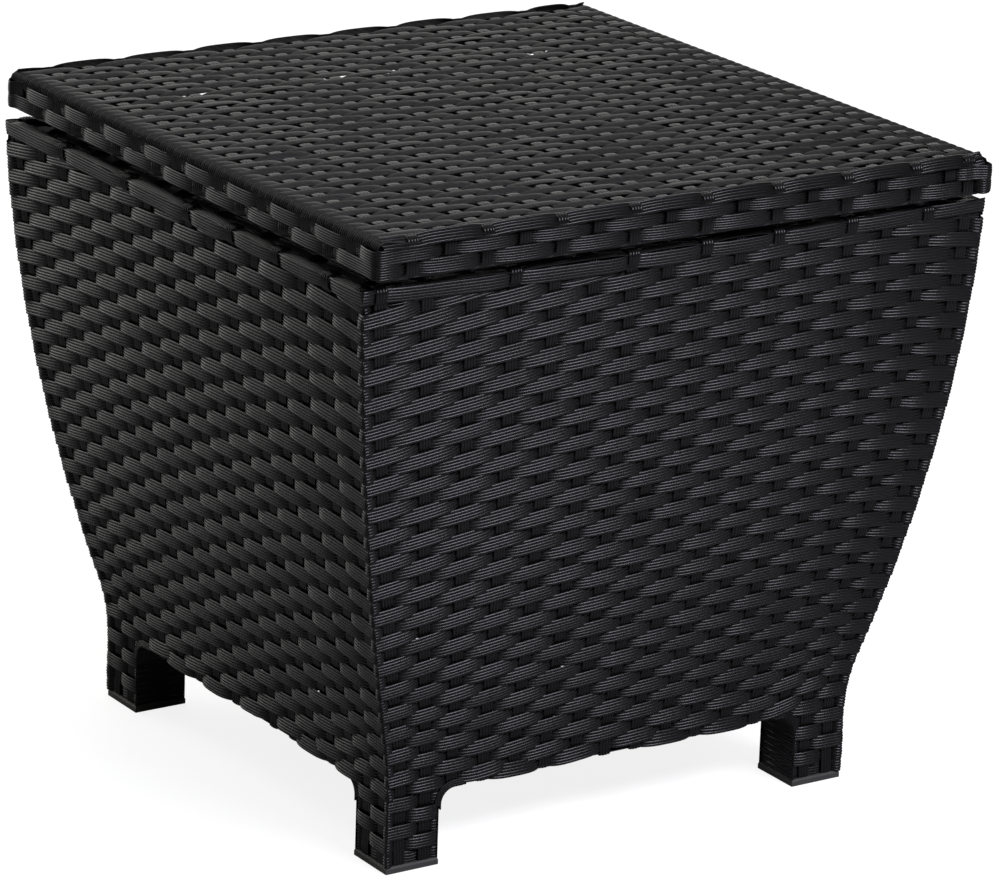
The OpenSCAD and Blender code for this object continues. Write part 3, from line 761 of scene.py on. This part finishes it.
def lid_side(side):
    strands = Strands(500 + side.index)
    long_side = side.name in ("front", "back")
    # The upper band passes under these columns, and the lower band under the others
    if long_side:
        bands, columns = BAND_Z, LID_COLUMNS
        under = np.arange(len(LID_COLUMNS)) % 2 == 1
    else:
        rows = np.arange(2, LID_TOP_ROWS, 3)
        bands, columns = END_BAND_Z, (rows - (LID_TOP_ROWS - 1) / 2) * LID_PITCH
        under = rows % 6 == 2
    if side.name in ("back", "left"):
        columns, under = -columns[::-1], under[::-1]
    for z, behind in zip(bands, (under, ~under)):
        side.row(strands, lambda s, z=z: np.full(np.shape(s), z), LID_CORNER_R, columns, behind, BAND,
                 bend_lift=LID_CORNER_LIFT)
    if long_side:
        lid_edge(strands, side, columns, under)
    strands.build("wicker_lid_" + side.name, "lid", ["lid_side_weave_" + side.name])


def lid_edge(strands, side, columns, under):
    """The strand on the rounded edge, between the top and the upper band, and the warps' ends."""
    profile, edge = lid_profile(side.rim_out)
    flat = side.rim_out - LID_R
    end = side.rim_half - 4.6
    turn = math.pi / 4
    s, lift, shift, twist = weave_line(strands.rng, columns, ~under, (-end, 0.3), (end, 0.3), 1.0)
    reach = LID_R - MID_DEPTH + lift + 1.8
    z = LID_TOP_Z - LID_R + reach * math.cos(turn) + shift
    path = side.point(s, flat + reach * math.sin(turn), z)
    strands.add(path, unit(UP - side.out), WEFT, twist=twist)
    upper, lower = (edge + LID_TOP_Z - LID_R - z for z in BAND_Z)
    for s, over_upper in zip(columns, under):
        if over_upper:
            steps = [(flat - 3.0, -0.3), (flat + 0.6, -0.5), (flat + 3.0, -0.3), (edge - 0.3, 0.4),
                     (upper - 2.7, 0.9), (upper + 2.7, 0.9), (lower - 4.0, -0.3), (lower, -0.8),
                     (lower + 5.0, -0.8)]
        else:
            steps = [(flat - 3.0, 0.4), (flat + 0.6, 2.2), (flat + 3.0, 2.9), (edge - 0.3, 2.3),
                     (upper - 2.7, -0.5), (upper + 2.7, -0.5), (lower - 3.4, 0.6), (lower, 0.9),
                     (lower + 3.4, 0.7), (lower + 5.8, -0.4)]
        out_z = np.column_stack(profile(*np.array(steps).T))
        side.upright(strands, np.full(len(steps), s), out_z[::-1])


def floor():
    strands = Strands(600)
    (_, y0, _), (x1, y1, _) = [np.array(c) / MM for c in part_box("floor_weave")]
    numbers = np.arange(FLOOR_COLUMNS)
    columns = (numbers - numbers.mean()) * FLOOR_COLUMN_PITCH
    rows = np.arange(int((y1 - y0) / ROW_PITCH))
    places = (rows - rows.mean()) * ROW_PITCH
    for row, y in zip(rows, places):
        end = x1 - (0.5 if abs(y) < y1 - FLOOR_NOTCH - WEFT_W / 2 else FLOOR_NOTCH)
        inside = np.abs(columns) < end - 5
        s, lift, shift, twist = weave_line(strands.rng, columns[inside], is_under(row, numbers[inside]),
                                           (-end, 0.0), (end, 0.0), FLOOR_LIFT)
        path = np.column_stack([s, y + shift, FLOOR_Z + lift])
        strands.add(path, TO_BACK, PLAIN, twist=twist)
    for k, x in enumerate(columns):
        y, lift = warp_over_rows(places, is_under(rows, k), 0.1, -0.6)
        strands.add(np.column_stack([np.full(len(y), x), y, FLOOR_Z + lift]), TO_LEFT, WARP)
    strands.build("wicker_floor", "box", ["floor_weave"])


# Materials
class Nodes:
    """Short names for the nodes of one material or world."""

    def __init__(self, owner, shader="Principled BSDF"):
        owner.use_nodes = True
        self.tree = owner.node_tree
        self.shader = self.tree.nodes[shader]

    def add(self, kind, **inputs):
        node = self.tree.nodes.new(kind)
        for key, value in inputs.items():
            self.fill(node.inputs[key.replace("_", " ")], value)
        return node

    def fill(self, socket, value):
        """Links the value to the socket if it is a node's output, or else sets it."""
        if isinstance(value, bpy.types.NodeSocket):
            self.tree.links.new(value, socket)
        else:
            socket.default_value = value

    def set(self, **inputs):
        """Fills inputs of the shader."""
        for key, value in inputs.items():
            self.fill(self.shader.inputs[key.replace("_", " ")], value)

    def noise(self, vector, scale, detail, roughness=0.55):
        node = self.add("ShaderNodeTexNoise", Vector=vector, Scale=scale, Detail=detail, Roughness=roughness)
        return node.outputs["Fac"]

    def ramp(self, value, low, high, dark, light):
        node = self.add("ShaderNodeMapRange", Value=value, From_Min=low, From_Max=high, To_Min=dark,
                        To_Max=light)
        return node.outputs["Result"]

    def mix(self, share, dark, light, blend="MIX"):
        node = self.tree.nodes.new("ShaderNodeMix")
        node.data_type = "RGBA"
        node.blend_type = blend
        for key, value in (("Factor", share), ("A", dark), ("B", light)):
            self.fill(node.inputs[key], (*value, 1.0) if isinstance(value, tuple) else value)
        return node.outputs["Result"]

    def times(self, one, other):
        return self.mix(1.0, one, other, "MULTIPLY")

    def math(self, operation, one, other=0.0):
        node = self.tree.nodes.new("ShaderNodeMath")
        node.operation = operation
        self.fill(node.inputs[0], one)
        self.fill(node.inputs[1], other)
        return node.outputs[0]

    def bump(self, height, distance, strength=1.0):
        node = self.add("ShaderNodeBump", Height=height, Distance=distance, Strength=strength)
        self.set(Normal=node.outputs["Normal"])

    def seen(self):
        """1 for the rays by which the camera sees a thing, and 0 for the rest."""
        rays = self.add("ShaderNodeLightPath").outputs
        return self.math("MAXIMUM", rays["Is Camera Ray"], rays["Is Transmission Ray"])


def wicker():
    """Black resin. The marks of a point are its place along its strand in millimetres, its place
    across the ridges, and the tone of the strand."""
    material = bpy.data.materials.new("wicker_resin")
    n = Nodes(material)
    strand = n.add("ShaderNodeAttribute")
    strand.attribute_name = "strand"
    marks = strand.outputs["Vector"]
    _, across, own_tone = n.add("ShaderNodeSeparateXYZ", Vector=marks).outputs
    stretched = n.add("ShaderNodeVectorMath", Vector=marks)
    stretched.operation = "MULTIPLY"
    stretched.inputs[1].default_value = (0.06, 3.0, 37.0)
    grain = n.noise(stretched.outputs["Vector"], scale=1.0, detail=4.0, roughness=0.6)
    place = n.add("ShaderNodeTexCoord").outputs["Object"]
    speck = n.noise(place, scale=900.0, detail=2.0, roughness=0.6)
    # Distance from the nearest groove: 0 in the groove, 0.5 on the ridge
    ridge = n.math("PINGPONG", across, 0.5)
    tone = n.mix(own_tone, (0.0028, 0.0026, 0.0023), (0.0045, 0.0042, 0.0038))
    streak = n.mix(n.ramp(grain, 0.3, 0.7, 0.0, 1.0), (0.7, 0.7, 0.71), (1.3, 1.3, 1.29))
    # Painted shade: the base colour drops to 0.3 of itself in the grooves between the ridges, where shade
    # falls
    groove = n.mix(n.ramp(ridge, 0.02, 0.2, 0.0, 1.0), (0.3, 0.3, 0.3), (1.0, 1.0, 1.0))
    rough = n.math("ADD", n.ramp(speck, 0.3, 0.7, -0.03, 0.03), n.ramp(ridge, 0.03, 0.2, 0.7, 0.31))
    n.set(Base_Color=n.times(n.times(tone, streak), groove), Roughness=rough, Specular_IOR_Level=0.4)
    # The ridges are round: their own shape is in the mesh, and the bump rounds it off
    round_top = n.math("SINE", n.math("MULTIPLY", ridge, math.pi))
    fine = n.math("MULTIPLY", n.math("ADD", grain, speck), 0.015)
    n.bump(n.math("ADD", round_top, fine), distance=0.0003)
    return material


def moulded(name, dark, light, grain, roughness, depth):
    """Plain moulded or coated surface with fine grain."""
    material = bpy.data.materials.new(name)
    n = Nodes(material)
    place = n.add("ShaderNodeTexCoord").outputs["Object"]
    broad = n.noise(place, scale=60.0, detail=3.0)
    fine = n.noise(place, scale=grain, detail=2.0)
    n.set(Base_Color=n.mix(n.ramp(broad, 0.35, 0.65, 0.0, 1.0), dark, light),
          Roughness=n.ramp(fine, 0.3, 0.7, roughness - 0.07, roughness + 0.07))
    n.bump(fine, depth, strength=0.5)
    return material


WICKER = wicker()
FINISHES = {
    "wicker": WICKER,
    "frame_tube": moulded("powder_coat", dark=(0.018, 0.018, 0.019), light=(0.025, 0.025, 0.026),
                          grain=1500.0, roughness=0.5, depth=0.0001),
    "foot_plastic": moulded("foot_plastic", dark=(0.05, 0.048, 0.045), light=(0.07, 0.067, 0.062),
                            grain=1100.0, roughness=0.55, depth=0.00012),
    "bumper_rubber": moulded("bumper_rubber", dark=(0.018, 0.018, 0.018), light=(0.028, 0.028, 0.028),
                             grain=900.0, roughness=0.75, depth=0.0001),
    "hinge_steel": moulded("hinge_coat", dark=(0.022, 0.022, 0.023), light=(0.034, 0.034, 0.036),
                           grain=1300.0, roughness=0.4, depth=0.00006),
}
for part in frame["record"]["subparts"]:
    node = frame["nodes"][part["node"]]
    node.data.materials.clear()
    node.data.materials.append(FINISHES[part["material_slot"]])
    for polygon in node.data.polygons:
        polygon.material_index = 0

for body_side in BODY_SIDES:
    wall(body_side)
    rim(body_side)
    leg(body_side)
floor()
lid_top()
for side_of_lid in LID_SIDES:
    lid_side(side_of_lid)


# Camera, floor and light. The camera fits the photo: angles in degrees, sizes in millimetres
AZIMUTH, ELEVATION, ROLL = -33.51885, 17.96023, 1.94788
AIM, DISTANCE = (14.5592, -6.6646, 227.6553), 3783.834
FOCAL_LENGTH, SENSOR_WIDTH = 189.582, 36.0


def camera():
    azimuth, elevation, roll = (math.radians(a) for a in (AZIMUTH, ELEVATION, ROLL))
    back = Vector((math.sin(azimuth) * math.cos(elevation), -math.cos(azimuth) * math.cos(elevation),
                   math.sin(elevation)))
    level = Vector((math.cos(azimuth), math.sin(azimuth), 0.0))
    upright = back.cross(level)
    right = level * math.cos(roll) + upright * math.sin(roll)
    top = upright * math.cos(roll) - level * math.sin(roll)
    data = bpy.data.cameras.new("camera")
    data.sensor_width = SENSOR_WIDTH
    data.lens = FOCAL_LENGTH
    data.clip_end = 50.0
    lens = bpy.data.objects.new("camera", data)
    turn = Matrix((right, top, back)).transposed().to_4x4()
    place = Vector(AIM) * MM + back * DISTANCE * MM
    lens.matrix_world = Matrix.Translation(place) @ turn
    bpy.context.collection.objects.link(lens)
    bpy.context.scene.camera = lens


def area(name, place, target, size, power, colour):
    data = bpy.data.lights.new(name, "AREA")
    data.shape = "RECTANGLE"
    data.size, data.size_y = size
    data.energy = power
    data.color = colour
    lamp = bpy.data.objects.new(name, data)
    lamp.location = place
    lamp.rotation_euler = (Vector(target) - Vector(place)).to_track_quat("-Z", "Y").to_euler()
    bpy.context.collection.objects.link(lamp)


def world():
    """Plain white to the camera. Its light is bright behind the object and dim behind the camera."""
    studio = bpy.data.worlds.new("studio")
    bpy.context.scene.world = studio
    n = Nodes(studio, "Background")
    place = n.add("ShaderNodeTexCoord").outputs["Generated"]
    to_back = n.add("ShaderNodeSeparateXYZ", Vector=place).outputs["Y"]
    bright = n.ramp(to_back, 0.2, 0.95, 0.03, 0.85)
    bright.node.interpolation_type = "SMOOTHSTEP"
    n.set(Strength=bright, Color=(1.0, 1.0, 0.99, 1.0))
    white = n.add("ShaderNodeBackground", Strength=1.0, Color=(1.0, 1.0, 1.0, 1.0))
    mix = n.add("ShaderNodeMixShader", Fac=n.seen())
    n.tree.links.new(n.shader.outputs[0], mix.inputs[1])
    n.tree.links.new(white.outputs[0], mix.inputs[2])
    n.tree.links.new(mix.outputs[0], n.tree.nodes["World Output"].inputs["Surface"])


def studio_floor():
    """Grey for the light that falls on it, and glowing white for the camera."""
    reach = 9.0
    corners = [(-reach, -reach, 0), (reach, -reach, 0), (reach, reach, 0), (-reach, reach, 0)]
    mesh = bpy.data.meshes.new("studio_floor")
    mesh.from_pydata(corners, [], [(0, 1, 2, 3)])
    ground = bpy.data.objects.new("studio_floor", mesh)
    bpy.context.collection.objects.link(ground)
    material = bpy.data.materials.new("studio_floor")
    n = Nodes(material)
    n.set(Base_Color=(0.42, 0.42, 0.42, 1.0), Roughness=0.9, Specular_IOR_Level=0.1,
          Emission_Color=(1.0, 1.0, 1.0, 1.0), Emission_Strength=n.math("MULTIPLY", n.seen(), 0.85))
    mesh.materials.append(material)


camera()
world()
studio_floor()
area("key", place=(0.6, -2.35, 2.25), target=(0.0, 0.0, 0.1), size=(1.9, 0.7), power=80.0,
     colour=(0.88, 0.87, 1.0))
area("back_left", place=(-0.7, 2.45, 1.15), target=(0.0, 0.0, 0.25), size=(1.0, 2.2), power=9.5,
     colour=(1.0, 0.99, 0.96))
area("top", place=(-0.7, -0.1, 2.4), target=(0.0, 0.0, 0.4), size=(1.6, 1.6), power=6.5,
     colour=(1.0, 0.99, 0.97))
area("back_right", place=(1.0, 1.8, 1.7), target=(0.0, 0.0, 0.4), size=(1.8, 1.4), power=7.8,
     colour=(1.0, 0.99, 0.97))
bpy.context.scene.view_settings.view_transform = "Standard"
